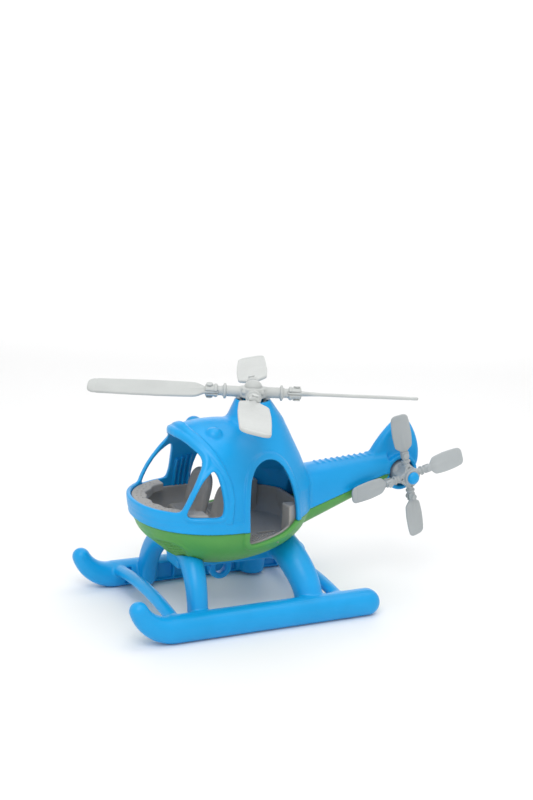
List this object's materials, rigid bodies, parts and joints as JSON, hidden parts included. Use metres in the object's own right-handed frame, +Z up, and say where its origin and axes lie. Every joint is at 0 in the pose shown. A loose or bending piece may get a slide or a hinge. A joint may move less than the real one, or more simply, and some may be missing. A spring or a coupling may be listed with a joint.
{
  "type": "toy helicopter",
  "caption": "Moulded plastic toy helicopter with an open egg-shaped cabin, runner landing gear and two free-spinning rotors.",
  "frame": {"origin": "middle of the footprint's box on the floor that the runners stand on", "axes": "+X to the nose, +Y to port, +Z up"},
  "size_m": [0.3018, 0.2306, 0.1746],
  "materials": {
    "blue_plastic": "satin moulded plastic",
    "green_plastic": "satin moulded plastic",
    "rotor_grey": "satin moulded plastic",
    "tail_grey": "satin moulded plastic",
    "interior_grey": "fine matt moulded plastic"
  },
  "bodies": {
    "airframe": {"belly_ring": "blue_plastic", "cabin_tray": "interior_grey", "dashboard": "interior_grey", "front_bow": "blue_plastic", "lower_shell": "green_plastic", "mast_bush": "rotor_grey", "port_front_leg": "blue_plastic", "port_rear_leg": "blue_plastic", "port_seat": "interior_grey", "port_skid": "blue_plastic", "rear_bow": "blue_plastic", "saddle": "blue_plastic", "starboard_front_leg": "blue_plastic", "starboard_rear_leg": "blue_plastic", "starboard_seat": "interior_grey", "starboard_skid": "blue_plastic", "tail_axle": "blue_plastic", "tail_cap": "blue_plastic", "upper_shell": "blue_plastic"},
    "main_rotor": {"hub_cap": "rotor_grey", "main_blade_1": "rotor_grey", "main_blade_2": "rotor_grey", "main_blade_3": "rotor_grey", "main_blade_4": "rotor_grey", "main_hub": "rotor_grey", "main_pin_1": "rotor_grey", "main_pin_2": "rotor_grey", "main_pin_3": "rotor_grey", "main_pin_4": "rotor_grey", "rotor_shaft": "rotor_grey", "shaft_clip": "rotor_grey"},
    "tail_rotor": {"tail_blade_1": "tail_grey", "tail_blade_2": "tail_grey", "tail_blade_3": "tail_grey", "tail_blade_4": "tail_grey", "tail_hub": "tail_grey", "tail_pin_1": "tail_grey", "tail_pin_2": "tail_grey", "tail_pin_3": "tail_grey", "tail_pin_4": "tail_grey"}
  },
  "joints": [
    {"name": "main_rotor_spin", "type": "hinge", "parent": "airframe", "child": "main_rotor", "pos_m": [0.03158, 0, 0.16565], "axis": [0, 0, 1], "continuous": true},
    {"name": "tail_rotor_spin", "type": "hinge", "parent": "airframe", "child": "tail_rotor", "pos_m": [-0.09962, 0.02, 0.0938], "axis": [0, 1, 0], "continuous": true}
  ]
}
